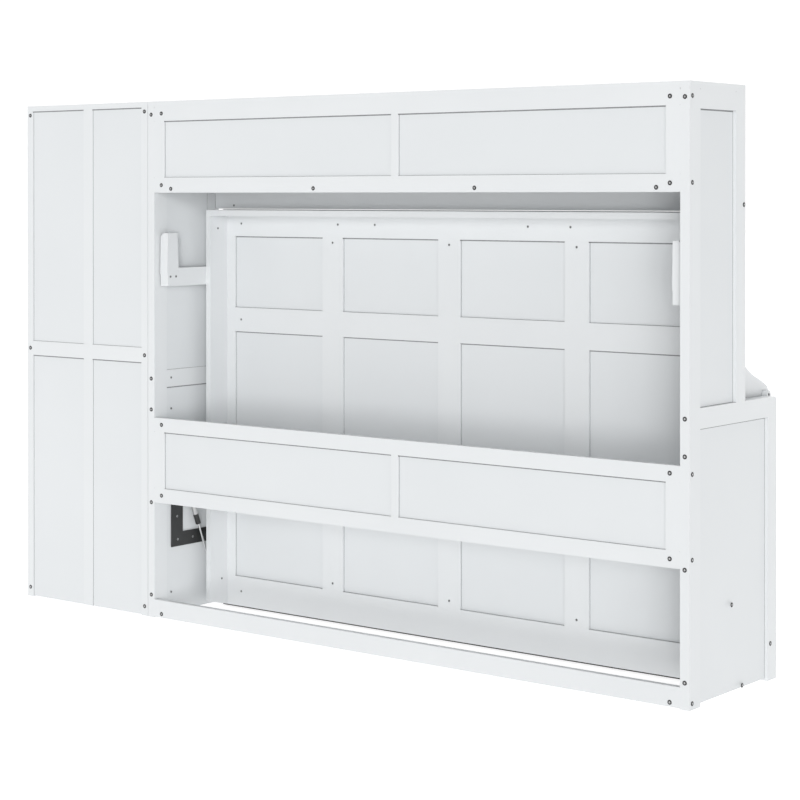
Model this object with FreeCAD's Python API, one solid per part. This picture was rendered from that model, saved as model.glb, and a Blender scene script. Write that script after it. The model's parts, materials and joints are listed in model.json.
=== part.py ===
import FreeCAD, Part
import math
import os

# Horizontal wall bed with a fold-down bed frame, a shelf that stays level on a
# parallelogram linkage, gas struts, and a tall open bookcase at its right-hand end.
# Millimetres.  +Z is up and the front faces -Y.  The origin is on the floor, at the
# centre of the overall box.  Inside the functions, "across" is measured from the
# left-hand end, "deep" from the rear face towards the front, and "high" from the floor.

Vector = FreeCAD.Vector

# Overall
overall_width = 2870.0
cabinet_width = 2230.0
module_gap = 2.0
overall_height = 1850.0
top_thickness = 20.0
upper_depth = 336.0
lower_depth = 537.0
bolt_head_height = 1.5
bolt_head_radius = 6.0

# Side frames
side_thickness = 32.0
side_inset = 11.0
side_panel_thickness = 19.0
rear_stile_depth = 63.0
front_stile_depth = 59.0
front_post_depth = 57.0
side_top_rail_height = 60.0
side_mid_rail_low = 822.0
side_mid_rail_high = 884.0
side_panel_floor_gap = 7.0
post_corner_radius = 14.0

# Rear frames
back_thickness = 20.0
back_panel_thickness = 8.0
back_panel_inset = 5.0
upper_back_low = 1523.0
upper_back_rail_low = 1577.0
upper_back_rail_high = 1779.0
lower_back_low = 413.0
lower_back_rail_low = 465.0
lower_back_rail_high = 667.0
lower_back_high = 717.0
back_end_stile = 50.0
back_centre_stile = 31.0
back_centre_left = 1086.0
stretcher_low = 3.0
stretcher_high = 65.0

# Front header above the bed
header_low = 1464.8
header_thickness = 18.0
header_rail_height = 88.0
header_end_stile = 48.0

# Bed frame and its framed face
bed_end_gap = 41.5
bed_rail_thickness = 21.0
bed_rear = 225.0
bed_face_rear = 315.0
bed_face_front = 337.0
bed_low = 8.0
bed_rail_rear_low = 29.0
bed_rail_high = 1460.0
bed_high = 1463.0
face_column_pitch = 514.0
face_stile_width = 94.0
face_edge_stile = 60.5
face_bottom_rail_high = 116.0
face_top_rail_low = 1364.0
face_cross_rail_lows = (377.0, 1015.0)
face_cross_rail_height = 88.0
face_panel_thickness = 8.0
face_panel_inset = 7.0

# End arms on the bed frame
arm_thickness = 36.0
arm_low = 1188.0
arm_high = 1253.0
arm_rear = 24.0
arm_bar_low = 1231.0
arm_bar_high = 1378.0
arm_bar_foot_front = 82.0
arm_bar_top_rear = 27.0
arm_bar_top_front = 76.0
arm_bar_corner = 20.0
arm_end_setback = 3.0

# Pivots of the linkage, each as (deep, high)
bed_pivot = (300.0, 272.0)
link_foot = (498.0, 114.0)
link_head = (549.0, 886.0)
shelf_pivot = (link_head[0] + bed_pivot[0] - link_foot[0], link_head[1] + bed_pivot[1] - link_foot[1])
pin_clearance = 0.05
open_pivot_clearance = 0.3

# Pivot plates
plate_thickness = 4.0
plate_rear = 84.0
plate_front = 326.0
plate_low = 241.0
plate_leg_high = 292.0
plate_leg_front = 141.0
plate_high = 622.0
plate_bolt = (252.0, 273.0)
bed_pin_radius = 8.0
bed_pin_end_wall = 4.0
bed_pin_end_gap = 0.5

# Links and shelf
link_offset = 3.0
link_thickness = 15.0
link_half_width = 13.5
bracket_offset = 20.0
bracket_thickness = 15.0
bracket_head_radius = 33.0
bracket_top_radius = 14.0
bracket_low = 832.0
bracket_rear = 345.0
shelf_low = 850.0
shelf_thickness = 18.0
shelf_front = 574.0
brace_curve = ((425.0, 985.5), (487.0, 947.5), (528.0, 931.5))
block_front = 372.0
block_half_height = 30.0
block_width = 40.0
link_pin_radius = 6.0
pin_cap_radius = 13.0
pin_cap_thickness = 2.0

# Gas struts
strut_top = (92.0, 600.0)
strut_foot = (293.0, 84.0)
strut_offset = 22.0
strut_radius = 10.0
strut_bore_radius = 8.5
strut_body_start = 14.0
strut_body_end = 306.0
strut_guide_length = 12.0
strut_end_wall = 8.0
strut_rod_radius = 4.0
strut_piston_radius = 8.4
strut_piston_start = 276.0
strut_piston_length = 10.0
strut_eye_radius = 10.0
strut_neck_radius = 6.0
strut_neck_length = 14.0
strut_end_gap = 0.3
stud_radius = 5.0

# Bookcase
bookcase_side = 32.0
bookcase_shelf = 20.0
bookcase_base_low = 40.0
bookcase_mid_low = 928.0
bookcase_shelf_lows = (484.0, 1240.0, 1535.0)
bookcase_rail_low = 912.0
bookcase_rail_high = 965.0
bookcase_strip = 48.0
bookcase_strip_left = 2516.0
bookcase_back_thickness = 12.0
bookcase_panel_thickness = 5.0
bookcase_panel_inset = 3.0
bookcase_back_low = 3.0
bookcase_bolt_heights = (34.0, 938.0, 1815.0)

# Bolts: heights on the posts and stiles, and places along the rails
post_bolt_heights = (80.0, 412.0, 745.0, 856.0, 1803.0)
back_bolt_heights = (16.0, 440.0, 693.0, 1550.0, 1806.0)
back_bolt_share = 0.7
upper_rail_bolts = (114.0, 780.0, 1450.0, 2116.0)
upper_rail_bolt_height = 1537.0
side_bolt_heights = (19.0, 441.0, 693.0, 1551.0, 1806.0)
side_bolt_share = 0.25
post_foot_bolt = (317.0, 17.0)
stile_bolt = (327.0, 1485.0)
bookcase_bolt_setback = 60.0

# Small shared values
header_inset_share = 1.0 / 3.0
match_tolerance = 0.1
bracket_top_turns = (37.0, 110.0, 180.0)
bracket_head_turns = (60.0, 30.0)

# Values worked out from the ones above
side_top = overall_height - top_thickness
overall_rear = -bolt_head_height
overall_front = link_head[0] + bracket_head_radius
middle_across = overall_width / 2.0
middle_deep = (overall_rear + overall_front) / 2.0
inner_left = side_thickness
inner_right = cabinet_width - side_thickness
bed_left = inner_left + bed_end_gap
bed_right = inner_right - bed_end_gap
front_stile_rear = upper_depth - front_stile_depth
front_post_rear = lower_depth - front_post_depth
bookcase_left = cabinet_width + module_gap


def point(across, deep, high):
    """Place a point given by its distances from the left end, the rear face and the floor."""
    return Vector(across - middle_across, middle_deep - deep, high)


def board(left, right, rear, front, low, high):
    """A rectangular board."""
    return Part.makeBox(right - left, front - rear, high - low, point(left, front, low))


def rod_across(radius, left, right, centre):
    """A round bar along the width of the bed, centred on (deep, high)."""
    deep, high = centre
    return Part.makeCylinder(radius, right - left, point(left, deep, high), Vector(1, 0, 0))


def profile_plate(outline_wire, left, right):
    """A flat plate cut to a wire that lies in the plane across = left."""
    return Part.Face(outline_wire).extrude(Vector(right - left, 0, 0))


def group(shapes):
    """Several separate solids kept as one sub-part."""
    return Part.makeCompound(shapes)


def save(node, shape):
    """Write one sub-part."""
    shape.exportStep("parts/" + node + ".step")


def mirrored(left, right):
    """The same stretch of width at the cabinet's other end."""
    return cabinet_width - right, cabinet_width - left


def at_end(end, left, right):
    """A stretch of width given for the left end, moved to the chosen end."""
    if end == "left":
        return left, right
    return mirrored(left, right)


def rounded_link(left, right, foot, foot_radius, head, head_radius):
    """A tapered bar with round ends, between two pivots."""
    run = math.hypot(head[0] - foot[0], head[1] - foot[1])
    along = ((head[0] - foot[0]) / run, (head[1] - foot[1]) / run)
    lean = math.asin((foot_radius - head_radius) / run)

    def rim(centre, radius, side):
        turn = side * (math.pi / 2 - lean)
        deep = along[0] * math.cos(turn) - along[1] * math.sin(turn)
        high = along[0] * math.sin(turn) + along[1] * math.cos(turn)
        return point(left, centre[0] + radius * deep, centre[1] + radius * high)

    foot_back = point(left, foot[0] - foot_radius * along[0], foot[1] - foot_radius * along[1])
    head_tip = point(left, head[0] + head_radius * along[0], head[1] + head_radius * along[1])
    edges = [
        Part.LineSegment(rim(foot, foot_radius, 1), rim(head, head_radius, 1)).toShape(),
        Part.Arc(rim(head, head_radius, 1), head_tip, rim(head, head_radius, -1)).toShape(),
        Part.LineSegment(rim(head, head_radius, -1), rim(foot, foot_radius, -1)).toShape(),
        Part.Arc(rim(foot, foot_radius, -1), foot_back, rim(foot, foot_radius, 1)).toShape(),
    ]
    return profile_plate(Part.Wire(edges), left, right)


def make_side_frame(end):
    """The stiles, rails, post and panels of one side of the cabinet."""
    left, right = at_end(end, 0.0, side_thickness)
    panel_left, panel_right = at_end(end, side_inset, side_inset + side_panel_thickness)
    save(end + "_rear_stile", board(left, right, 0.0, rear_stile_depth, 0.0, side_top))
    save(end + "_front_stile",
         board(left, right, front_stile_rear, upper_depth, side_mid_rail_high, side_top))
    top_rail = board(left, right, rear_stile_depth, front_stile_rear,
                     side_top - side_top_rail_height, side_top)
    mid_rail = board(left, right, rear_stile_depth, front_post_rear,
                     side_mid_rail_low, side_mid_rail_high)
    save(end + "_side_rails", group([top_rail, mid_rail]))
    post = board(left, right, front_post_rear, lower_depth, 0.0, side_mid_rail_high)
    save(end + "_front_post", round_front_top_corner(post))
    save(end + "_upper_panel",
         board(panel_left, panel_right, rear_stile_depth, front_stile_rear,
               side_mid_rail_high, side_top - side_top_rail_height))
    save(end + "_lower_panel",
         board(panel_left, panel_right, rear_stile_depth, front_post_rear,
               side_panel_floor_gap, side_mid_rail_low))


def round_front_top_corner(post):
    """Round the post's top edge at the front."""
    front = point(0.0, lower_depth, side_mid_rail_high)
    for edge in post.Edges:
        middle = edge.CenterOfMass
        if abs(middle.y - front.y) < match_tolerance and abs(middle.z - front.z) < match_tolerance:
            return post.makeFillet(post_corner_radius, [edge])
    raise ValueError("the front post has no top front edge")


def make_rear_frame(name, low, rail_low, rail_high, high):
    """A framed back: two rails, three stiles and two recessed panels."""
    lower = board(inner_left, inner_right, 0.0, back_thickness, low, rail_low)
    upper = board(inner_left, inner_right, 0.0, back_thickness, rail_high, high)
    save(name + "_rails", group([lower, upper]))
    centre_right = back_centre_left + back_centre_stile
    stile_spans = [
        (inner_left, inner_left + back_end_stile),
        (back_centre_left, centre_right),
        (inner_right - back_end_stile, inner_right),
    ]
    stiles = []
    for left, right in stile_spans:
        stiles.append(board(left, right, 0.0, back_thickness, rail_low, rail_high))
    save(name + "_stiles", group(stiles))
    panel_rear = back_panel_inset
    panel_front = panel_rear + back_panel_thickness
    panels = []
    for (_, left), (right, _) in zip(stile_spans[:-1], stile_spans[1:]):
        panels.append(board(left, right, panel_rear, panel_front, rail_low, rail_high))
    save(name + "_panels", group(panels))


def make_header():
    """The fixed front above the bed: two rails, five stiles and the panels between them."""
    rear = upper_depth - header_thickness
    inset = header_thickness * header_inset_share
    rail_top = header_low + header_rail_height
    upper_rail_low = side_top - header_rail_height
    left = inner_left + header_end_stile
    right = inner_right - header_end_stile
    lower = board(left, right, rear, upper_depth, header_low, rail_top)
    upper = board(left, right, rear, upper_depth, upper_rail_low, side_top)
    save("header_rails", group([lower, upper]))
    stiles = [
        board(inner_left, left, rear, upper_depth, header_low, side_top),
        board(right, inner_right, rear, upper_depth, header_low, side_top),
    ]
    edges = [left]
    for centre in face_stile_centres():
        edges.append(centre - face_stile_width / 2.0)
        edges.append(centre + face_stile_width / 2.0)
        stiles.append(board(edges[-2], edges[-1], rear, upper_depth, rail_top, upper_rail_low))
    edges.append(right)
    save("header_stiles", group(stiles))
    panels = []
    for panel_left, panel_right in zip(edges[0::2], edges[1::2]):
        panels.append(board(panel_left, panel_right, rear + inset, upper_depth - inset,
                            rail_top, upper_rail_low))
    save("header_panels", group(panels))


def make_bed_rails():
    """The rails round the mattress; the side rails are bored for the bed's pivot pins."""
    inner_bed_left = bed_left + bed_rail_thickness
    inner_bed_right = bed_right - bed_rail_thickness
    for end in ("left", "right"):
        left, right = at_end(end, bed_left, inner_bed_left)
        corners = [
            point(left, bed_rear, bed_rail_rear_low),
            point(left, bed_rear, bed_rail_high),
            point(left, bed_face_rear, bed_rail_high),
            point(left, bed_face_rear, bed_low),
            point(left, bed_rear, bed_rail_rear_low),
        ]
        rail = profile_plate(Part.makePolygon(corners), left, right)
        bore_left, bore_right = at_end(end, bed_left, inner_bed_left - bed_pin_end_wall)
        bore = rod_across(bed_pin_radius + pin_clearance, bore_left, bore_right, bed_pivot)
        save("bed_" + end + "_rail", rail.cut(bore))
    save("bed_top_rail",
         board(inner_bed_left, inner_bed_right, bed_rear, bed_face_rear,
               bed_rail_high - bed_rail_thickness, bed_rail_high))


def face_stile_centres():
    """Where the face's inner stiles stand along the bed."""
    return [cabinet_width / 2.0 + step * face_column_pitch for step in (-1, 0, 1)]


def face_columns():
    """The open stretches between the face's stiles, as (left, right)."""
    edges = [bed_left + face_edge_stile]
    for centre in face_stile_centres():
        edges.append(centre - face_stile_width / 2.0)
        edges.append(centre + face_stile_width / 2.0)
    edges.append(bed_right - face_edge_stile)
    return list(zip(edges[0::2], edges[1::2]))


def face_rows():
    """The open stretches between the face's rails, as (low, high)."""
    edges = [face_bottom_rail_high]
    for low in face_cross_rail_lows:
        edges.append(low)
        edges.append(low + face_cross_rail_height)
    edges.append(face_top_rail_low)
    return list(zip(edges[0::2], edges[1::2]))


def make_bed_face():
    """The framed face under the mattress: stiles, rails and recessed panels."""
    columns = face_columns()
    rows = face_rows()
    rear = bed_face_rear
    front = bed_face_front
    edge_left = board(bed_left, columns[0][0], rear, front, bed_low, bed_high)
    edge_right = board(columns[-1][1], bed_right, rear, front, bed_low, bed_high)
    save("face_edge_stiles", group([edge_left, edge_right]))
    span_left = columns[0][0]
    span_right = columns[-1][1]
    save("face_top_rail", board(span_left, span_right, rear, front, face_top_rail_low, bed_high))
    save("face_bottom_rail",
         board(span_left, span_right, rear, front, bed_low, face_bottom_rail_high))
    stiles = []
    for (_, left), (right, _) in zip(columns[:-1], columns[1:]):
        stiles.append(board(left, right, rear, front, face_bottom_rail_high, face_top_rail_low))
    save("face_inner_stiles", group(stiles))
    cross_rails = []
    for low in face_cross_rail_lows:
        for left, right in columns:
            cross_rails.append(board(left, right, rear, front, low, low + face_cross_rail_height))
    save("face_cross_rails", group(cross_rails))
    panel_rear = rear + face_panel_inset
    panel_front = panel_rear + face_panel_thickness
    panels = []
    for low, high in rows:
        for left, right in columns:
            panels.append(board(left, right, panel_rear, panel_front, low, high))
    save("face_panels", group(panels))


def make_end_arm(end):
    """A flat arm on the bed frame's end; the bar on its rear tip has a round outer corner."""
    left, right = at_end(end, bed_left - arm_thickness, bed_left)
    arm = board(left, right, arm_rear + arm_end_setback, bed_face_rear, arm_low, arm_high)
    seat = board(left, right, arm_rear, arm_bar_foot_front, arm_bar_low, arm_high)
    corners = [
        point(left, arm_rear, arm_bar_low),
        point(left, arm_bar_top_rear, arm_bar_high),
        point(left, arm_bar_top_front, arm_bar_high),
        point(left, arm_bar_foot_front, arm_bar_low),
        point(left, arm_rear, arm_bar_low),
    ]
    bar = profile_plate(Part.makePolygon(corners), left, right)
    outer = max(abs(left - cabinet_width / 2.0), abs(right - cabinet_width / 2.0))
    top_edges = []
    for edge in bar.Edges:
        middle = edge.CenterOfMass
        reach = abs(middle.x + middle_across - cabinet_width / 2.0)
        if abs(reach - outer) < match_tolerance and abs(middle.z - arm_bar_high) < match_tolerance:
            top_edges.append(edge)
    bar = bar.makeFillet(arm_bar_corner, top_edges)
    save(end + "_end_arm", group([arm.cut(seat), bar]))


def make_pivot_plate(end):
    """An L-shaped steel plate with the bed's pivot pin and the strut's stud welded to it."""
    face = inner_left + plate_thickness
    plate_left, plate_right = at_end(end, inner_left, face)
    upright = board(plate_left, plate_right, plate_rear, plate_leg_front, plate_low, plate_high)
    foot = board(plate_left, plate_right, plate_rear, plate_front, plate_low, plate_leg_high)
    plate = upright.fuse(foot)
    pin_end = bed_left + bed_rail_thickness - bed_pin_end_wall - bed_pin_end_gap
    pin_left, pin_right = at_end(end, face, pin_end)
    plate = plate.fuse(rod_across(bed_pin_radius, pin_left, pin_right, bed_pivot))
    stud_reach = inner_left + strut_offset - strut_eye_radius - strut_end_gap
    stud_left, stud_right = at_end(end, face, stud_reach)
    plate = plate.fuse(rod_across(stud_radius, stud_left, stud_right, strut_top))
    save(end + "_pivot_plate", plate.removeSplitter())


def strut_line():
    """The strut's length and its direction from its top end to its foot."""
    start = point(0.0, strut_top[0], strut_top[1])
    finish = point(0.0, strut_foot[0], strut_foot[1])
    run = finish.sub(start)
    length = run.Length
    return length, run.multiply(1.0 / length)


def strut_bar(radius, across, start, finish):
    """A round bar on the strut's axis, between two distances from its top pivot."""
    _, direction = strut_line()
    base = point(across, strut_top[0], strut_top[1]).add(Vector(direction).multiply(start))
    return Part.makeCylinder(radius, finish - start, base, direction)


def make_strut(end):
    """A gas strut: the tube with its end fitting, and the rod with its piston and socket."""
    across, _ = at_end(end, inner_left + strut_offset, inner_left + strut_offset)
    length, _ = strut_line()
    eye = rod_across(strut_eye_radius, across - strut_eye_radius, across + strut_eye_radius, strut_top)
    tube = strut_bar(strut_radius, across, strut_body_start, strut_body_end)
    hollow = strut_bar(strut_bore_radius, across, strut_body_start + strut_end_wall,
                       strut_body_end - strut_guide_length)
    rod_hole = strut_bar(strut_rod_radius + pin_clearance, across,
                         strut_body_end - strut_guide_length, strut_body_end)
    neck = strut_bar(strut_neck_radius, across, 0.0, strut_body_start)
    body = tube.cut(hollow).cut(rod_hole).fuse(neck).fuse(eye)
    save(end + "_strut_tube", body.removeSplitter())
    piston_end = strut_piston_start + strut_piston_length
    rod = strut_bar(strut_rod_radius, across, strut_piston_start, length)
    piston = strut_bar(strut_piston_radius, across, strut_piston_start, piston_end)
    socket_neck = strut_bar(strut_neck_radius, across, length - strut_neck_length, length)
    socket = rod_across(strut_eye_radius, across - strut_eye_radius, across + strut_eye_radius,
                        strut_foot)
    save(end + "_strut_rod", rod.fuse(piston).fuse(socket_neck).fuse(socket).removeSplitter())


def make_strut_studs():
    """The studs on the bed frame that the struts push against."""
    reach = inner_left + strut_offset + strut_eye_radius + strut_end_gap
    studs = []
    for end in ("left", "right"):
        left, right = at_end(end, reach, bed_left)
        studs.append(rod_across(stud_radius, left, right, strut_foot))
    save("strut_studs", group(studs))


def make_link(end):
    """The bar that ties the shelf to the cabinet's front post."""
    left, right = at_end(end, inner_left + link_offset, inner_left + link_offset + link_thickness)
    bar = rounded_link(left, right, link_foot, link_half_width, link_head, link_half_width)
    foot_hole = rod_across(link_pin_radius + pin_clearance, left, right, link_foot)
    head_hole = rod_across(link_pin_radius + open_pivot_clearance, left, right, link_head)
    save(end + "_link", bar.cut(foot_hole).cut(head_hole))


def rim_point(left, centre, radius, turn):
    """A point on a circle round a pivot, turned up from the forward direction by an angle."""
    return point(left, centre[0] + radius * math.cos(turn), centre[1] + radius * math.sin(turn))


def make_shelf_bracket(end):
    """The curved board at one end of the shelf, pivoted on the bed frame and on the link."""
    start = inner_left + bracket_offset
    left, right = at_end(end, start, start + bracket_thickness)
    dip, knee, brow = [point(left, deep, high) for deep, high in brace_curve]
    top_front, top_middle, top_rear = [
        rim_point(left, shelf_pivot, bracket_top_radius, math.radians(turn)) for turn in bracket_top_turns
    ]
    head_rear, head_middle = [
        rim_point(left, link_head, bracket_head_radius, math.radians(turn)) for turn in bracket_head_turns
    ]
    head_front = rim_point(left, link_head, bracket_head_radius, 0.0)
    low_front = point(left, link_head[0] + bracket_head_radius, bracket_low)
    low_rear = point(left, bracket_rear, bracket_low)
    edges = [
        Part.Arc(top_rear, top_middle, top_front).toShape(),
        Part.Arc(top_front, dip, knee).toShape(),
        Part.Arc(knee, brow, head_rear).toShape(),
        Part.Arc(head_rear, head_middle, head_front).toShape(),
        Part.LineSegment(head_front, low_front).toShape(),
        Part.LineSegment(low_front, low_rear).toShape(),
        Part.LineSegment(low_rear, top_rear).toShape(),
    ]
    hole = rod_across(link_pin_radius + pin_clearance, left, right, shelf_pivot)
    save(end + "_shelf_bracket", profile_plate(Part.Wire(edges), left, right).cut(hole))


def make_shelf():
    """The shelf board between the two brackets."""
    reach = inner_left + bracket_offset + bracket_thickness
    left, right = reach, cabinet_width - reach
    save("shelf_board",
         board(left, right, bracket_rear, shelf_front, shelf_low, shelf_low + shelf_thickness))


def make_linkage_pins():
    """The pins of the linkage, one pair for each of its three pivots."""
    link_near = inner_left + link_offset
    link_far = link_near + link_thickness
    bracket_near = inner_left + bracket_offset
    foot_pins = []
    head_pins = []
    shelf_blocks = []
    for end in ("left", "right"):
        left, right = at_end(end, inner_left, link_far)
        foot_pins.append(rod_across(link_pin_radius, left, right, link_foot))
        left, right = at_end(end, link_near, bracket_near)
        shank = rod_across(link_pin_radius, left, right, link_head)
        left, right = at_end(end, link_near - pin_cap_thickness, link_near - open_pivot_clearance)
        cap = rod_across(pin_cap_radius, left, right, link_head)
        left, right = at_end(end, link_near - open_pivot_clearance, link_near)
        neck = rod_across(link_pin_radius, left, right, link_head)
        head_pins.append(shank.fuse(neck).fuse(cap).removeSplitter())
        left, right = at_end(end, bracket_near, bed_left)
        shank = rod_across(link_pin_radius, left, right, shelf_pivot)
        left, right = at_end(end, bed_left, bed_left + block_width)
        block = board(left, right, bed_face_front, block_front,
                      shelf_pivot[1] - block_half_height, shelf_pivot[1] + block_half_height)
        shelf_blocks.append(block.fuse(shank).removeSplitter())
    save("link_foot_pins", group(foot_pins))
    save("link_head_pins", group(head_pins))
    save("shelf_pivot_blocks", group(shelf_blocks))


def make_bookcase():
    """The tall open bookcase at the right-hand end."""
    inner_case_left = bookcase_left + bookcase_side
    inner_case_right = overall_width - bookcase_side
    save("bookcase_left_side",
         board(bookcase_left, inner_case_left, 0.0, upper_depth, 0.0, side_top))
    save("bookcase_right_side",
         board(inner_case_right, overall_width, 0.0, upper_depth, 0.0, side_top))
    save("bookcase_top",
         board(bookcase_left, overall_width, 0.0, upper_depth, side_top, overall_height))
    rear = bookcase_back_thickness

    def level(low):
        return board(inner_case_left, inner_case_right, rear, upper_depth, low, low + bookcase_shelf)

    save("bookcase_base", level(bookcase_base_low))
    save("bookcase_plinth",
         board(inner_case_left, inner_case_right, upper_depth - 2 * bookcase_shelf,
               upper_depth - bookcase_shelf, 0.0, bookcase_base_low))
    save("bookcase_middle", level(bookcase_mid_low))
    save("bookcase_shelves", group([level(low) for low in bookcase_shelf_lows]))
    strip_right = bookcase_strip_left + bookcase_strip
    strip_spans = [(bookcase_back_low, bookcase_rail_low), (bookcase_rail_high, side_top)]
    strips = []
    panels = []
    panel_rear = bookcase_panel_inset
    panel_front = panel_rear + bookcase_panel_thickness
    for low, high in strip_spans:
        strips.append(board(bookcase_strip_left, strip_right, 0.0, rear, low, high))
        panels.append(board(inner_case_left, bookcase_strip_left, panel_rear, panel_front, low, high))
        panels.append(board(strip_right, inner_case_right, panel_rear, panel_front, low, high))
    save("bookcase_back_strips", group(strips))
    save("bookcase_back_panels", group(panels))
    save("bookcase_back_rail",
         board(inner_case_left, inner_case_right, 0.0, rear, bookcase_rail_low, bookcase_rail_high))


def rear_bolt_places():
    """Where bolt heads show on the rear face, as (across, high)."""
    post = side_thickness / 2.0
    screw = inner_left + back_end_stile * back_bolt_share
    screw_right = cabinet_width - screw
    places = []
    for high in post_bolt_heights:
        places.append((post, high))
        places.append((cabinet_width - post, high))
    for high in back_bolt_heights:
        places.append((screw, high))
        places.append((screw_right, high))
    for across in upper_rail_bolts:
        places.append((across, upper_rail_bolt_height))
    return places


def bookcase_bolt_places():
    """Where bolt heads show on the rear of the bookcase, as (across, high)."""
    post = bookcase_side / 2.0
    places = []
    for across in (bookcase_left + post, overall_width - post):
        for high in bookcase_bolt_heights:
            places.append((across, high))
    return places


def side_bolt_places():
    """Where bolt heads show on the outside of each side, as (deep, high)."""
    rear = rear_stile_depth * side_bolt_share
    places = []
    for high in side_bolt_heights:
        places.append((rear, high))
    places.append(link_foot)
    places.append(plate_bolt)
    places.append(post_foot_bolt)
    places.append(stile_bolt)
    return places


def make_bolt_heads():
    """The heads of the assembly bolts, on the rear face and on the outside of both ends."""
    heads = []
    for across, high in rear_bolt_places() + bookcase_bolt_places():
        base = point(across, overall_rear, high)
        heads.append(Part.makeCylinder(bolt_head_radius, bolt_head_height, base, Vector(0, -1, 0)))
    for deep, high in side_bolt_places():
        base = point(-bolt_head_height, deep, high)
        heads.append(Part.makeCylinder(bolt_head_radius, bolt_head_height, base, Vector(1, 0, 0)))
    for high in bookcase_bolt_heights:
        for deep in (bookcase_bolt_setback, upper_depth - bookcase_bolt_setback):
            base = point(overall_width, deep, high)
            heads.append(Part.makeCylinder(bolt_head_radius, bolt_head_height, base, Vector(1, 0, 0)))
    save("bolt_heads", group(heads))


def build():
    """Write every sub-part of the wall bed."""
    os.makedirs("parts", exist_ok=True)
    make_rear_frame("upper_back", upper_back_low, upper_back_rail_low, upper_back_rail_high, side_top)
    make_rear_frame("lower_back", lower_back_low, lower_back_rail_low, lower_back_rail_high,
                    lower_back_high)
    save("rear_stretcher",
         board(inner_left, inner_right, 0.0, back_thickness, stretcher_low, stretcher_high))
    save("top_board", board(0.0, cabinet_width, 0.0, upper_depth, side_top, overall_height))
    make_header()
    make_bed_rails()
    make_bed_face()
    for end in ("left", "right"):
        make_side_frame(end)
        make_end_arm(end)
        make_pivot_plate(end)
        make_strut(end)
        make_link(end)
        make_shelf_bracket(end)
    make_strut_studs()
    make_shelf()
    make_linkage_pins()
    make_bookcase()
    make_bolt_heads()


build()
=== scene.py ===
"""Looks of the wall bed: paint, panels, metal parts, fasteners, joint lines, studio and camera.

Metres, +Z up, front towards -Y.  The CAD nodes keep their shape and place; this script
gives them materials and softened edges, and adds the small hardware that shows.
"""
import json
import math
import bmesh
import bpy
from mathutils import Matrix, Vector


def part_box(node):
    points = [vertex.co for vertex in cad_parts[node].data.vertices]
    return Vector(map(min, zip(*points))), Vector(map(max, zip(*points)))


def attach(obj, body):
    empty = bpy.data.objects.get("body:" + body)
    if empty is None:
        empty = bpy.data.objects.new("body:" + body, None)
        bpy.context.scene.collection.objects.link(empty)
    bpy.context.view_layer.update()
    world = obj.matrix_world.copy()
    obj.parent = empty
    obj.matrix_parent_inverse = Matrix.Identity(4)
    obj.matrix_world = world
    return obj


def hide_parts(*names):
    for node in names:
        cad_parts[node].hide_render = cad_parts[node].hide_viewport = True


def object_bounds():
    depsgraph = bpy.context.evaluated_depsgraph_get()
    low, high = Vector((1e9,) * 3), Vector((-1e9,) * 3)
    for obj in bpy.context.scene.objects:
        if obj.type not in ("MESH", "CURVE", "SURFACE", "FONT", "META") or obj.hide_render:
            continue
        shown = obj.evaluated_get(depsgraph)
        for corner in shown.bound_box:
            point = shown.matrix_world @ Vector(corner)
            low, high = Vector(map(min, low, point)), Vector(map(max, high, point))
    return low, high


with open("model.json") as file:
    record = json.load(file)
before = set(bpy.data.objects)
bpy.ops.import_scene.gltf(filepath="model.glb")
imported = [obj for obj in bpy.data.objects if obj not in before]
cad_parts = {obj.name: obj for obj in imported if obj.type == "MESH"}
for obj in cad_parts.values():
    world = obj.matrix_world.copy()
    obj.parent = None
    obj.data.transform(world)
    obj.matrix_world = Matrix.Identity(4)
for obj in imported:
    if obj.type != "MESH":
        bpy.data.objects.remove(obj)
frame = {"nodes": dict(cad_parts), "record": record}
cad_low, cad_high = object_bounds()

# ---------------------------------------------------------------- places read from the frame
REAR_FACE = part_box("left_rear_stile")[1].y
LEFT_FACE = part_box("left_rear_stile")[0].x
FLOOR = cad_low[2]

METAL_NODES = {
    "left_pivot_plate": "black_steel",
    "right_pivot_plate": "black_steel",
    "link_foot_pins": "zinc",
    "shelf_pivot_blocks": "zinc",
    "strut_studs": "zinc",
}
PANEL_WORD = "panel"
X_AXIS, Y_AXIS, Z_AXIS = 0, 1, 2
AXIS_NAMES = ("x", "y", "z")


# ---------------------------------------------------------------- material helpers
NOISE_ROUGHNESS = 0.55
NOISE_LOW = 0.3
NOISE_HIGH = 0.7
TINT_ON_GREEN = 0.4


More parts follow.
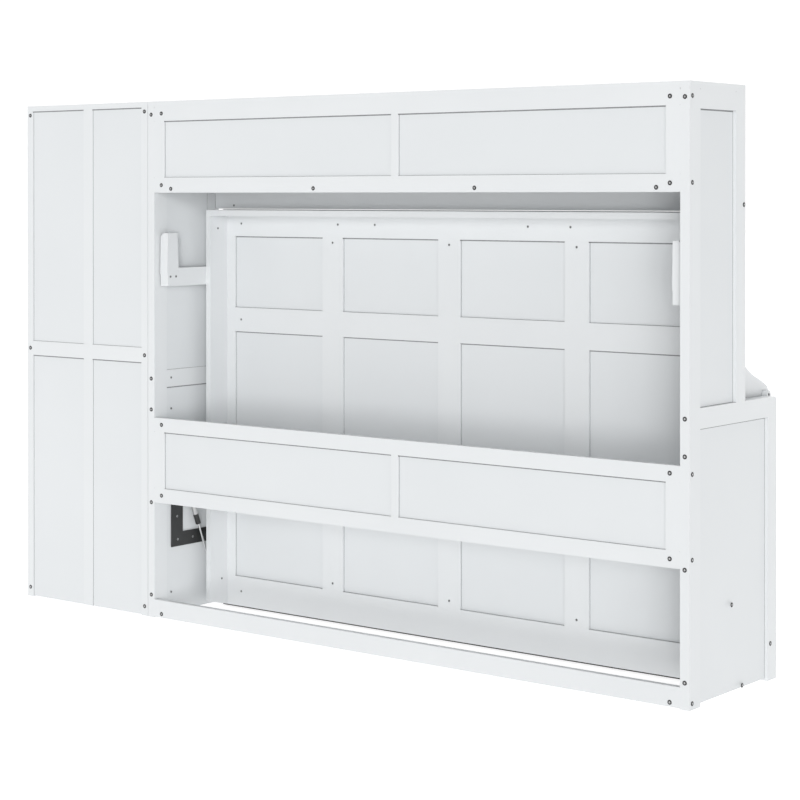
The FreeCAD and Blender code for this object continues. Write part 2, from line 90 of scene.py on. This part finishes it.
class Graph:
    """A few short calls for building one material's nodes."""

    def __init__(self, name):
        self.material = bpy.data.materials.new(name)
        self.material.use_nodes = True
        self.tree = self.material.node_tree
        self.tree.nodes.clear()
        self.shader = self.add("ShaderNodeBsdfPrincipled")
        output = self.add("ShaderNodeOutputMaterial")
        self.link(self.shader.outputs["BSDF"], output.inputs["Surface"])

    def add(self, kind, **settings):
        node = self.tree.nodes.new(kind)
        for key, value in settings.items():
            setattr(node, key, value)
        return node

    def link(self, source, target):
        self.tree.links.new(source, target)

    def coordinates(self, scale=(1.0, 1.0, 1.0)):
        source = self.add("ShaderNodeTexCoord")
        mapping = self.add("ShaderNodeMapping")
        mapping.inputs["Scale"].default_value = scale
        self.link(source.outputs["Object"], mapping.inputs["Vector"])
        return mapping.outputs["Vector"]

    def noise(self, vector, scale, detail=4.0):
        node = self.add("ShaderNodeTexNoise")
        node.inputs["Scale"].default_value = scale
        node.inputs["Detail"].default_value = detail
        node.inputs["Roughness"].default_value = NOISE_ROUGHNESS
        self.link(vector, node.inputs["Vector"])
        return node.outputs["Fac"]

    def ramp(self, factor, stops):
        """A colour ramp through (position, colour) stops."""
        node = self.add("ShaderNodeValToRGB")
        elements = node.color_ramp.elements
        elements[0].position, elements[0].color = stops[0]
        elements[1].position, elements[1].color = stops[-1]
        for position, colour in stops[1:-1]:
            elements.new(position).color = colour
        self.link(factor, node.inputs["Fac"])
        return node.outputs["Color"]

    def tones(self, factor, darker, lighter):
        """A colour between two tones, over the middle range of a noise."""
        return self.ramp(factor, [(NOISE_LOW, darker), (NOISE_HIGH, lighter)])

    def span(self, factor, low, high):
        """The factor stretched between two numbers."""
        node = self.add("ShaderNodeMapRange")
        node.inputs["To Min"].default_value = low
        node.inputs["To Max"].default_value = high
        self.link(factor, node.inputs["Value"])
        return node.outputs["Result"]

    def bump(self, height, strength, distance, below=None):
        node = self.add("ShaderNodeBump")
        node.inputs["Strength"].default_value = strength
        node.inputs["Distance"].default_value = distance
        self.link(height, node.inputs["Height"])
        if below is not None:
            self.link(below, node.inputs["Normal"])
        return node.outputs["Normal"]

    def finish(self, colour=None, roughness=None, normal=None, **settings):
        if colour is not None:
            self.link(colour, self.shader.inputs["Base Color"])
        if roughness is not None:
            self.link(roughness, self.shader.inputs["Roughness"])
        if normal is not None:
            self.link(normal, self.shader.inputs["Normal"])
        for key, value in settings.items():
            self.shader.inputs[key.replace("_", " ")].default_value = value
        return self.material


def grey(level, tint=0.0):
    """A near-neutral colour, slightly bluer as tint grows."""
    return (level * (1.0 - tint), level * (1.0 - TINT_ON_GREEN * tint), level, 1.0)


def grain_scale(axis, along, across):
    """A texture scale stretched along one axis."""
    scale = [across, across, across]
    scale[axis] = along
    return tuple(scale)


def white_paint(axis):
    """Satin white paint over wood, with faint grain along the board."""
    g = Graph("white_paint_" + AXIS_NAMES[axis])
    stretched = g.coordinates(grain_scale(axis, along=3.0, across=130.0))
    grain = g.noise(stretched, scale=1.0, detail=6.0)
    cloud = g.noise(g.coordinates(), scale=2.2, detail=3.0)
    peel = g.noise(g.coordinates(), scale=620.0, detail=2.0)
    colour = g.tones(cloud, grey(0.660, tint=0.044), grey(0.678, tint=0.040))
    roughness = g.span(grain, low=0.34, high=0.50)
    grain_relief = g.bump(grain, strength=0.10, distance=0.0006)
    normal = g.bump(peel, strength=0.06, distance=0.0004, below=grain_relief)
    return g.finish(colour, roughness, normal, Coat_Weight=0.12, Coat_Roughness=0.30)


def white_panel():
    """Smooth white-faced board, a little cooler and glossier than the paint."""
    g = Graph("white_panel")
    cloud = g.noise(g.coordinates(), scale=1.6, detail=3.0)
    emboss = g.noise(g.coordinates(), scale=900.0, detail=2.0)
    fleck = g.noise(g.coordinates(), scale=60.0, detail=5.0)
    colour = g.tones(cloud, grey(0.645, tint=0.050), grey(0.661, tint=0.046))
    roughness = g.span(fleck, low=0.30, high=0.42)
    normal = g.bump(emboss, strength=0.05, distance=0.0003)
    return g.finish(colour, roughness, normal)


def black_steel():
    """Black powder coat with its fine orange-peel texture."""
    g = Graph("black_steel")
    grit = g.noise(g.coordinates(), scale=1400.0, detail=3.0)
    patch = g.noise(g.coordinates(), scale=30.0, detail=4.0)
    colour = g.tones(patch, grey(0.014, tint=0.05), grey(0.024, tint=0.05))
    roughness = g.span(patch, low=0.38, high=0.52)
    normal = g.bump(grit, strength=0.25, distance=0.0003)
    return g.finish(colour, roughness, normal, Specular_IOR_Level=0.5)


ZINC_DULLING = 0.86


def zinc(name="zinc", level=0.42):
    """Zinc-plated steel."""
    g = Graph(name)
    patch = g.noise(g.coordinates(), scale=180.0, detail=5.0)
    scratched = g.coordinates(grain_scale(X_AXIS, along=40.0, across=900.0))
    scratch = g.noise(scratched, scale=1.0, detail=4.0)
    colour = g.tones(patch, grey(level * ZINC_DULLING, tint=0.02), grey(level, tint=0.02))
    roughness = g.span(scratch, low=0.24, high=0.40)
    normal = g.bump(scratch, strength=0.08, distance=0.0002)
    return g.finish(colour, roughness, normal, Metallic=1.0)


def polished_rod():
    """The strut's polished rod."""
    g = Graph("polished_rod")
    drawn = g.coordinates(grain_scale(Z_AXIS, along=60.0, across=900.0))
    fine = g.noise(drawn, scale=1.0, detail=3.0)
    colour = g.tones(fine, grey(0.66, tint=0.01), grey(0.74, tint=0.01))
    roughness = g.span(fine, low=0.12, high=0.22)
    return g.finish(colour, roughness, Metallic=1.0)


def socket_shadow():
    """The dark inside of a bolt's socket."""
    g = Graph("socket_dark")
    patch = g.noise(g.coordinates(), scale=400.0, detail=3.0)
    colour = g.tones(patch, grey(0.030), grey(0.055))
    roughness = g.span(patch, low=0.55, high=0.75)
    return g.finish(colour, roughness, Metallic=0.6)


def bolt_rim():
    """The dark outer band of a bolt head."""
    g = Graph("bolt_rim")
    patch = g.noise(g.coordinates(), scale=500.0, detail=3.0)
    colour = g.tones(patch, grey(0.020), grey(0.040))
    return g.finish(colour, g.span(patch, low=0.55, high=0.75))


# ---------------------------------------------------------------- finishing the CAD nodes
EDGE_SOFTENING = 0.0008
SMALL_EDGE_SOFTENING = 0.0004
BEVEL_ANGLE = math.radians(40.0)
BEVEL_SEGMENTS = 2


def soften_edges(piece, width):
    """A small rounding on sharp edges, as a modifier."""
    bevel = piece.modifiers.new("softened_edges", "BEVEL")
    bevel.width = width
    bevel.segments = BEVEL_SEGMENTS
    bevel.limit_method = "ANGLE"
    bevel.angle_limit = BEVEL_ANGLE
    bevel.harden_normals = False


def grain_axis(node):
    """The axis along which a board is longest."""
    low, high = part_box(node)
    spans = [high[axis] - low[axis] for axis in range(3)]
    return spans.index(max(spans))


VERTICAL_GROUPS = ("face_inner_stiles", "face_edge_stiles", "upper_back_stiles", "lower_back_stiles",
                   "left_upper_panel", "right_upper_panel")
DEEP_GROUPS = ("left_side_rails", "right_side_rails")


def paint_axis(name):
    """The direction of a painted board's grain."""
    if name in VERTICAL_GROUPS:
        return Z_AXIS
    if name in DEEP_GROUPS:
        return Y_AXIS
    return grain_axis(name)


def set_material(piece, material):
    """Every slot of the piece takes the material."""
    if not piece.material_slots:
        piece.data.materials.append(material)
    for place in piece.material_slots:
        place.material = material


def dress_nodes():
    """Materials for every carried-over CAD node, and softened edges for all but the strut's tube and
    rod.
    """
    paints = [white_paint(axis) for axis in range(3)]
    finishes = {
        "panel": white_panel(),
        "black_steel": black_steel(),
        "zinc": zinc(),
        "tube": black_steel_tube(),
        "rod": polished_rod(),
    }
    for name, piece in frame["nodes"].items():
        if name in METAL_NODES:
            set_material(piece, finishes[METAL_NODES[name]])
            soften_edges(piece, SMALL_EDGE_SOFTENING)
        elif name.endswith("strut_tube"):
            set_material(piece, finishes["tube"])
        elif name.endswith("strut_rod"):
            set_material(piece, finishes["rod"])
        elif PANEL_WORD in name:
            set_material(piece, finishes["panel"])
            soften_edges(piece, SMALL_EDGE_SOFTENING)
        else:
            set_material(piece, paints[paint_axis(name)])
            soften_edges(piece, EDGE_SOFTENING)
    return finishes


STRUT_TUBE_LENGTH = 0.306
BLACK = (0.0, 0.0, 0.0, 1.0)
WHITE = (1.0, 1.0, 1.0, 1.0)
# Along the tube from its top, as shares of its length: black, the bright collar, the black cap.
STRUT_BANDS = [
    (0.0, BLACK),
    (0.765, BLACK),
    (0.770, WHITE),
    (0.868, WHITE),
    (0.873, BLACK),
    (1.0, BLACK),
]


def strut_ends():
    """The strut's top end and its foot, from the boxes of its tube and rod."""
    tube_low, tube_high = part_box("left_strut_tube")
    rod_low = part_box("left_strut_rod")[0]
    radius = (tube_high.x - tube_low.x) / 2.0
    top = Vector((0.0, tube_high.y - radius, tube_high.z - radius))
    foot = Vector((0.0, rod_low.y + radius, rod_low.z + radius))
    return top, foot


def black_steel_tube():
    """The strut's tube: black paint, with a bright collar and a black cap near its lower end."""
    top, foot = strut_ends()
    along = (foot - top).normalized()
    g = Graph("strut_tube")
    source = g.add("ShaderNodeTexCoord")
    offset = g.add("ShaderNodeVectorMath", operation="SUBTRACT")
    offset.inputs[1].default_value = top
    g.link(source.outputs["Object"], offset.inputs[0])
    dot = g.add("ShaderNodeVectorMath", operation="DOT_PRODUCT")
    dot.inputs[1].default_value = along
    g.link(offset.outputs["Vector"], dot.inputs[0])
    distance = g.add("ShaderNodeMapRange")
    distance.inputs["From Max"].default_value = STRUT_TUBE_LENGTH
    g.link(dot.outputs["Value"], distance.inputs["Value"])
    mask = g.ramp(distance.outputs["Result"], STRUT_BANDS)
    collar = g.add("ShaderNodeMix", data_type="RGBA")
    collar.inputs["A"].default_value = grey(0.018, tint=0.04)
    collar.inputs["B"].default_value = grey(0.55, tint=0.01)
    g.link(mask, collar.inputs["Factor"])
    wear = g.noise(g.coordinates(), scale=250.0)
    g.link(mask, g.shader.inputs["Metallic"])
    return g.finish(collar.outputs["Result"], g.span(wear, low=0.22, high=0.36))


# ---------------------------------------------------------------- bolt heads and screws
HEAD_SIDES = 24
CROSS_WAIST = 0.42
CROSS_ARM = 0.58
CROSS_SHARPNESS = 3
# A head's profile, as shares of its radius and height.
WALL_HEIGHT = 0.45
SHOULDER_RADIUS = 0.90
SHOULDER_HEIGHT = 0.85
CROWN_RADIUS = 0.68
RECESS_TAPER = 0.92
BODY_SLOT, DARK_SLOT = 0, 1


def hexagon_radius(radius, turn):
    """Distance from the centre to a hexagon's side at an angle."""
    sixth = math.pi / 3.0
    return radius * math.cos(sixth / 2.0) / math.cos((turn % sixth) - sixth / 2.0)


def cross_radius(radius, turn):
    """Distance from the centre to the rim of a cross-shaped recess at an angle."""
    return radius * (CROSS_WAIST + CROSS_ARM * abs(math.cos(2.0 * turn)) ** CROSS_SHARPNESS)


def ring(mesh, radius, height, shape=None):
    """One ring of points about +Z."""
    points = []
    for step in range(HEAD_SIDES):
        turn = 2.0 * math.pi * step / HEAD_SIDES
        reach = radius if shape is None else shape(radius, turn)
        points.append(mesh.verts.new((reach * math.cos(turn), reach * math.sin(turn), height)))
    return points


def head_template(radius, height, recess, recess_radius, recess_depth, dark_rim=False):
    """A domed head with a driving recess, as rings from the rim inwards."""
    mesh = bmesh.new()
    foot = ring(mesh, radius, 0.0)
    dome = [
        ring(mesh, radius, height * WALL_HEIGHT),
        ring(mesh, radius * SHOULDER_RADIUS, height * SHOULDER_HEIGHT),
        ring(mesh, radius * CROWN_RADIUS, height),
    ]
    recess_edge = ring(mesh, recess_radius, height, recess)
    recess_floor = ring(mesh, recess_radius * RECESS_TAPER, height - recess_depth, recess)
    rings = [foot, *dome, recess_edge, recess_floor]
    dark = [*dome, recess_edge] if dark_rim else [recess_floor]
    for outer, inner in zip(rings[:-1], rings[1:]):
        for step in range(HEAD_SIDES):
            after = (step + 1) % HEAD_SIDES
            face = mesh.faces.new((outer[step], outer[after], inner[after], inner[step]))
            face.smooth = inner in dome
            face.material_index = DARK_SLOT if inner in dark else BODY_SLOT
    floor = mesh.faces.new(recess_floor)
    floor.material_index = BODY_SLOT if dark_rim else DARK_SLOT
    mesh.faces.new(list(reversed(foot)))
    return mesh


def add_piece(name, mesh, *materials):
    """An object made from a finished mesh, which is then freed."""
    data = bpy.data.meshes.new(name)
    mesh.to_mesh(data)
    mesh.free()
    for material in materials:
        data.materials.append(material)
    piece = bpy.data.objects.new(name, data)
    bpy.context.scene.collection.objects.link(piece)
    return piece


def place_heads(name, template, places, materials, body):
    """Copies of a head at (point, outward direction) places, joined into one piece."""
    whole = bmesh.new()
    source = bpy.data.meshes.new(name + "_one")
    template.to_mesh(source)
    for centre, outward in places:
        copy = source.copy()
        turn = Vector((0.0, 0.0, 1.0)).rotation_difference(Vector(outward)).to_matrix().to_4x4()
        copy.transform(Matrix.Translation(centre) @ turn)
        whole.from_mesh(copy)
        bpy.data.meshes.remove(copy)
    bpy.data.meshes.remove(source)
    piece = add_piece(name, whole, *materials)
    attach(piece, body)
    return piece


MERGE_DISTANCE = 1e-6


def islands(node):
    """The boxes of a node's separate solids, as (low, high)."""
    mesh = bmesh.new()
    mesh.from_mesh(frame["nodes"][node].data)
    bmesh.ops.remove_doubles(mesh, verts=mesh.verts, dist=MERGE_DISTANCE)
    seen = set()
    boxes = []
    for start in mesh.verts:
        if start in seen:
            continue
        seen.add(start)
        stack = [start]
        points = []
        while stack:
            vertex = stack.pop()
            points.append(vertex.co.copy())
            for edge in vertex.link_edges:
                other = edge.other_vert(vertex)
                if other not in seen:
                    seen.add(other)
                    stack.append(other)
        low = Vector([min(p[axis] for p in points) for axis in range(3)])
        high = Vector([max(p[axis] for p in points) for axis in range(3)])
        boxes.append((low, high))
    mesh.free()
    return boxes


def bolt_places():
    """Where each bolt head sits and which way it faces."""
    places = []
    for low, high in islands("bolt_heads"):
        centre = (low + high) / 2.0
        thin = [high[axis] - low[axis] for axis in range(3)]
        if thin.index(min(thin)) == Y_AXIS:
            places.append((Vector((centre.x, low.y, centre.z)), (0.0, 1.0, 0.0)))
        elif centre.x < 0.0:
            places.append((Vector((high.x, centre.y, centre.z)), (-1.0, 0.0, 0.0)))
        else:
            places.append((Vector((low.x, centre.y, centre.z)), (1.0, 0.0, 0.0)))
    return places


# Screws along the face's top rail stand this far each side of its middle.
TOP_RAIL_SCREWS = (0.323, 0.490, 0.950)
TOP_RAIL_SCREW_RISE = 0.009
RAIL_END_SCREW_SETBACK = 0.030
INNER_STILE_TOP = 0.018
INNER_STILE_BOTTOM = 0.025
HEIGHT_DIGITS = 4


def face_screw_places():
    """Screws on the mattress side of the bed's face: along its rails and stiles."""
    top_low, top_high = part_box("face_top_rail")
    rear = top_high.y
    middle = (top_low.x + top_high.x) / 2.0
    inner_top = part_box("bed_top_rail")[0].z
    top_rail_middle = (top_low.z + inner_top) / 2.0 + TOP_RAIL_SCREW_RISE
    places = []
    for reach in TOP_RAIL_SCREWS:
        for side in (-1.0, 1.0):
            places.append((middle + side * reach, top_rail_middle))
    stile_top = top_low.z - INNER_STILE_TOP
    stile_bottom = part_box("face_bottom_rail")[1].z + INNER_STILE_BOTTOM
    for low, high in islands("face_inner_stiles"):
        centre = (low.x + high.x) / 2.0
        places.append((centre, stile_top))
        places.append((centre, stile_bottom))
    cross_rails = islands("face_cross_rails")
    rail_heights = {round((low.z + high.z) / 2.0, HEIGHT_DIGITS) for low, high in cross_rails}
    bottom_low, bottom_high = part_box("face_bottom_rail")
    edge_heights = sorted(rail_heights) + [(bottom_low.z + bottom_high.z) / 2.0]
    edge_left = top_low.x + RAIL_END_SCREW_SETBACK
    edge_right = top_high.x - RAIL_END_SCREW_SETBACK
    for height in edge_heights:
        places.append((edge_left, height))
        places.append((edge_right, height))
    return [(Vector((across, rear, height)), (0.0, 1.0, 0.0)) for across, height in places]


BED_RAIL_SCREWS = ((0.030, 0.098), (0.050, 1.385))
HEADER_SCREW_SETBACK = 0.045
HEADER_SCREW_RISE = 0.012


def bed_rail_screw_places():
    """Two screws on the inner face of each side rail, as (behind the face, above its foot)."""
    places = []
    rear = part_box("face_top_rail")[1].y
    for end, outward in (("left", 1.0), ("right", -1.0)):
        low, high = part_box("bed_" + end + "_rail")
        across = high.x if outward > 0 else low.x
        for behind, rise in BED_RAIL_SCREWS:
            places.append((Vector((across, rear + behind, low.z + rise)), (outward, 0.0, 0.0)))
    return places


def header_screw_places():
    """A screw near each lower corner of the header, on its rear face."""
    low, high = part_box("header_rails")
    rear = high.y
    height = low.z + HEADER_SCREW_RISE
    spots = (low.x + HEADER_SCREW_SETBACK, high.x - HEADER_SCREW_SETBACK)
    return [(Vector((across, rear, height)), (0.0, 1.0, 0.0)) for across in spots]


ARM_SCREW_DEPTHS = (0.016, 0.044)
ARM_SCREW_RISE = 0.034
NUT_SETBACK = 0.085
NUT_HEIGHTS = (0.079, 0.411, 0.743, 0.855)
PLATE_THICKNESS = 0.004
PLATE_SCREWS = ((0.115, 0.266), (0.193, 0.266), (0.112, 0.350), (0.112, 0.440), (0.112, 0.520))


def arm_screw_places():
    """Two screws where each end arm carries its bar."""
    places = []
    for end, outward in (("left", 1.0), ("right", -1.0)):
        low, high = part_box(end + "_end_arm")
        face = high.x if outward > 0 else low.x
        for setback in ARM_SCREW_DEPTHS:
            centre = Vector((face, high.y - setback, low.z + ARM_SCREW_RISE))
            places.append((centre, (outward, 0.0, 0.0)))
    return places


def inner_side_places(spots, inset):
    """Spots given as (depth from the rear, height) on the inner face of both sides."""
    places = []
    for end, outward in (("left", 1.0), ("right", -1.0)):
        low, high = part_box(end + "_rear_stile")
        face = (high.x if outward > 0 else low.x) + outward * inset
        for deep, height in spots:
            places.append((Vector((face, REAR_FACE - deep, height)), (outward, 0.0, 0.0)))
    return places


def barrel_bolt_places():
    """The bolt end that shows in the outer face of each link head's barrel."""
    places = []
    for low, high in islands("link_head_pins"):
        outward = -1.0 if low.x < 0.0 else 1.0
        face = low.x if outward < 0 else high.x
        centre = Vector((face, (low.y + high.y) / 2.0, (low.z + high.z) / 2.0))
        places.append((centre, (outward, 0.0, 0.0)))
    return places


BOLT_RADIUS = 0.0072
BOLT_HEIGHT = 0.0014
BOLT_RECESS_RADIUS = 0.0034
BOLT_RECESS_DEPTH = 0.0006
SCREW_RADIUS = 0.0042
SCREW_HEIGHT = 0.0009
SCREW_RECESS_RADIUS = 0.0026
SCREW_RECESS_DEPTH = 0.0007
BARREL_BOLT_RADIUS = 0.0050
BARREL_RECESS_RADIUS = 0.0040


def make_fasteners(finishes):
    """Bolt heads outside, and the screws and nuts that show inside."""
    dark = socket_shadow()
    rim = bolt_rim()
    bright = zinc("bolt_zinc", level=0.30)
    pale = zinc("bolt_centre_zinc", level=0.62)
    bolt = head_template(BOLT_RADIUS, BOLT_HEIGHT, hexagon_radius,
                         BOLT_RECESS_RADIUS, BOLT_RECESS_DEPTH, dark_rim=True)
    bolts = place_heads("bolt_head_details", bolt, bolt_places(), (pale, rim), "cabinet")
    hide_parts("bolt_heads")
    screw = head_template(SCREW_RADIUS, SCREW_HEIGHT, cross_radius,
                          SCREW_RECESS_RADIUS, SCREW_RECESS_DEPTH)
    screw_finish = (bright, dark)
    place_heads("face_screws", screw, face_screw_places(), screw_finish, "bed")
    place_heads("bed_rail_screws", screw, bed_rail_screw_places(), screw_finish, "bed")
    place_heads("header_screws", screw, header_screw_places(), screw_finish, "cabinet")
    place_heads("arm_screws", screw, arm_screw_places(), screw_finish, "bed")
    nuts = inner_side_places([(NUT_SETBACK, height) for height in NUT_HEIGHTS], inset=0.0)
    place_heads("side_nuts", screw, nuts, screw_finish, "cabinet")
    barrel_end = head_template(BARREL_BOLT_RADIUS, SCREW_HEIGHT, hexagon_radius,
                               BARREL_RECESS_RADIUS, SCREW_RECESS_DEPTH)
    place_heads("barrel_bolts", barrel_end, barrel_bolt_places(), screw_finish, "shelf")
    plate_screws = inner_side_places(PLATE_SCREWS, inset=PLATE_THICKNESS)
    place_heads("plate_screws", screw, plate_screws, (finishes["zinc"], dark), "cabinet")


# ---------------------------------------------------------------- painted shade lines where boards meet
# Sizes of the dark fillers: painted shade in flush joints and recess corners, and painted shadow under
# overhanging rails.
TOUCH = 0.00005
SHORTEST_LINE = 10.0 * TOUCH
JOINT_HALF_WIDTH = 0.0007
JOINT_SUNK = 0.00025
CORNER_SHADE_WIDTH = 0.0011
OVERHANG_SHADOW_WIDTH = 0.0042
CORNER_LINE_PROUD = 0.0004
LINE_DEPTH = 0.0009
JOINED_BODIES = ("cabinet", "bed")
SLANTED_BOARDS = ("bed_left_rail", "bed_right_rail")


def painted_boards(body):
    """The boxes of a body's square-set boards, leaving out the arms and the slanted rails."""
    boards = []
    for name in frame["record"]["behaviour"]["bodies"][body]:
        not_a_board = name in METAL_NODES or name == "bolt_heads"
        if not_a_board or name in SLANTED_BOARDS or name.endswith("_end_arm"):
            continue
        boards.extend(islands(name))
    return boards


def line_box(axis, seam, side_axis, level, outward, run_axis, run, widths, depths):
    """The corners of a thin dark filler of painted shade along one joint, as (low, high)."""
    low, high = Vector((0.0, 0.0, 0.0)), Vector((0.0, 0.0, 0.0))
    low[axis], high[axis] = seam + widths[0], seam + widths[1]
    reach = sorted((level - outward * depths[0], level + outward * depths[1]))
    low[side_axis], high[side_axis] = reach
    low[run_axis], high[run_axis] = run
    return low, high


def shade_lines_between(first, second, axis):
    """Dark fillers of painted shade round the contact of two boards, where first ends and second
    begins along axis.
    """
    seam = first[1][axis]
    others = [other for other in range(3) if other != axis]
    spans = {}
    for other in others:
        spans[other] = (max(first[0][other], second[0][other]), min(first[1][other], second[1][other]))
        if spans[other][1] - spans[other][0] < SHORTEST_LINE:
            return []
    lines = []
    for side_axis, run_axis in (others, others[::-1]):
        for corner, outward in ((0, -1.0), (1, 1.0)):
            first_level, second_level = first[corner][side_axis], second[corner][side_axis]
            level = spans[side_axis][corner]
            if abs(first_level - second_level) < TOUCH:
                widths = (-JOINT_HALF_WIDTH, JOINT_HALF_WIDTH)
                depths = (LINE_DEPTH, -JOINT_SUNK)
            elif (first_level - second_level) * outward > 0.0:
                widths = (0.0, CORNER_SHADE_WIDTH)
                depths = (LINE_DEPTH, CORNER_LINE_PROUD)
            else:
                # Under an overhanging rail the filler is wider, as painted shadow under the overhang.
                width = OVERHANG_SHADOW_WIDTH if axis == Z_AXIS else CORNER_SHADE_WIDTH
                widths = (-width, 0.0)
                depths = (LINE_DEPTH, CORNER_LINE_PROUD)
            lines.append(line_box(axis, seam, side_axis, level, outward, run_axis,
                                  spans[run_axis], widths, depths))
    return lines


def add_box(mesh, low, high):
    """One closed box."""
    size = high - low
    place = Matrix.Translation((low + high) / 2.0) @ Matrix.Diagonal((size.x, size.y, size.z, 1.0))
    bmesh.ops.create_cube(mesh, size=1.0, matrix=place)


def joint_shade():
    """The painted shade inside a joint between two painted boards."""
    g = Graph("joint_shade")
    # The noise only makes the painted shade a little uneven.
    shade_noise = g.noise(g.coordinates(), scale=90.0)
    colour = g.tones(shade_noise, grey(0.20, tint=0.05), grey(0.27, tint=0.05))
    return g.finish(colour, g.span(shade_noise, low=0.7, high=0.9))


def make_painted_shade_lines():
    """Dark hairlines of painted shade where boards meet, in recess corners and under overhanging
    rails, one piece for each body.
    """
    shade = joint_shade()
    for body in JOINED_BODIES:
        boards = painted_boards(body)
        mesh = bmesh.new()
        for first in boards:
            for second in boards:
                for axis in range(3):
                    if abs(first[1][axis] - second[0][axis]) < TOUCH:
                        for low, high in shade_lines_between(first, second, axis):
                            add_box(mesh, low, high)
        piece = add_piece(body + "_painted_shade_lines", mesh, shade)
        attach(piece, body)


# Height of the painted shadow strip under the lower edge of the bed's face.
SHADOW_STRIP_HEIGHT = 0.004


def make_painted_shadow_strip(material):
    """A dark strip along the lower edge of the bed's face: painted shadow, standing in for the shade
    under that edge.
    """
    low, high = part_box("face_edge_stiles")
    mesh = bmesh.new()
    add_box(mesh, Vector((low.x, low.y, low.z - SHADOW_STRIP_HEIGHT)), Vector((high.x, high.y, low.z)))
    piece = add_piece("face_painted_shadow_strip", mesh, material)
    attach(piece, "bed")


# ---------------------------------------------------------------- studio and camera
# The camera's place, in metres from the cabinet's left end, rear face and floor.
CAMERA_LEFT = 3.0754
CAMERA_BEHIND = 5.2938
CAMERA_HEIGHT = 1.5104
CAMERA_TURN = math.radians(37.98)
CAMERA_DIP = math.radians(0.25)
# The focal length, as a multiple of the frame's width.
FOCAL_IN_FRAMES = 2.5875
SENSOR = 36.0
SHIFT_X = -0.0065
SHIFT_Y = -0.2434


def make_camera():
    """The camera behind the cabinet's left end, nearly level, with a lens shift for the framing."""
    data = bpy.data.cameras.new("camera")
    data.sensor_width = SENSOR
    data.lens = SENSOR * FOCAL_IN_FRAMES
    data.shift_x = SHIFT_X
    data.shift_y = SHIFT_Y
    camera = bpy.data.objects.new("camera", data)
    bpy.context.scene.collection.objects.link(camera)
    camera.location = (LEFT_FACE - CAMERA_LEFT, REAR_FACE + CAMERA_BEHIND, FLOOR + CAMERA_HEIGHT)
    camera.rotation_euler = (math.pi / 2.0 - CAMERA_DIP, 0.0, math.pi + CAMERA_TURN)
    bpy.context.scene.camera = camera


def stage_piece(name, mesh, place, material):
    """A floor or backdrop piece made from a mesh."""
    piece = add_piece(name, mesh, material)
    piece.location = place
    return piece


FLOOR_HALF_SIZE = 400.0
FLOOR_DROP = 0.0005
FLOOR_GLOW = 0.82
BACKDROP_RADIUS = 80.0
BACKDROP_GLOW = 1.0


def make_floor():
    """A plain pale floor, lit evenly like a light table."""
    mesh = bmesh.new()
    bmesh.ops.create_grid(mesh, x_segments=2, y_segments=2, size=FLOOR_HALF_SIZE)
    g = Graph("floor_pale")
    cloud = g.noise(g.coordinates(), scale=0.8, detail=2.0)
    colour = g.tones(cloud, grey(0.330), grey(0.340))
    roughness = g.span(cloud, low=0.75, high=0.85)
    pale = g.finish(colour, roughness, Emission_Color=WHITE, Emission_Strength=FLOOR_GLOW)
    floor = stage_piece("floor", mesh, (0.0, 0.0, FLOOR - FLOOR_DROP), pale)
    floor.visible_shadow = False


def make_backdrop():
    """A plain white surround that is seen but adds no light of its own."""
    mesh = bmesh.new()
    bmesh.ops.create_uvsphere(mesh, u_segments=48, v_segments=24, radius=BACKDROP_RADIUS)
    g = Graph("backdrop_white")
    cloud = g.noise(g.coordinates(), scale=0.05, detail=1.0)
    colour = g.tones(cloud, grey(0.002), grey(0.003))
    white = g.finish(colour, Emission_Color=WHITE, Emission_Strength=BACKDROP_GLOW)
    backdrop = stage_piece("backdrop", mesh, (0.0, 0.0, FLOOR), white)
    backdrop.visible_diffuse = False
    backdrop.visible_glossy = False
    backdrop.visible_transmission = False
    backdrop.visible_shadow = False


def soft_sun(name, strength, spread, azimuth, elevation):
    """A broad even light; azimuth is measured from +Y towards -X."""
    data = bpy.data.lights.new(name, "SUN")
    data.energy = strength
    data.angle = spread
    light = bpy.data.objects.new(name, data)
    bpy.context.scene.collection.objects.link(light)
    level = math.cos(elevation)
    towards = Vector((-level * math.sin(azimuth), level * math.cos(azimuth), math.sin(elevation)))
    light.rotation_euler = towards.to_track_quat("Z", "Y").to_euler()


WORLD_STRENGTH = 0.40
FRONTAL_SPREAD = 16.0
# Each light's name, strength, spread, azimuth and elevation, the last three in degrees.
SUNS = (
    ("overhead", 0.75, 70.0, 0.0, 90.0),
    ("near_frontal", 0.66, FRONTAL_SPREAD, 30.0, 10.0),
    ("front", 1.35, 50.0, 192.0, 18.0),
    ("middle_frontal", 0.95, FRONTAL_SPREAD, 38.0, -4.0),
    ("far_frontal", 0.44, FRONTAL_SPREAD, 49.0, 7.0),
)


def make_studio():
    """An even pale surround, a soft overhead light, three behind the cabinet and one in front."""
    world = bpy.data.worlds.new("studio")
    bpy.context.scene.world = world
    world.use_nodes = True
    background = world.node_tree.nodes["Background"]
    background.inputs["Color"].default_value = WHITE
    background.inputs["Strength"].default_value = WORLD_STRENGTH
    for name, strength, spread, azimuth, elevation in SUNS:
        soft_sun(name, strength, math.radians(spread), math.radians(azimuth), math.radians(elevation))
    bpy.context.scene.view_settings.view_transform = "Standard"


make_camera()
make_floor()
make_backdrop()
make_studio()
made_finishes = dress_nodes()
make_fasteners(made_finishes)
# The dark hairlines at joints and corners are painted shade.
make_painted_shade_lines()
# The dark strip under the bed's face is painted shadow.
make_painted_shadow_strip(made_finishes["black_steel"])
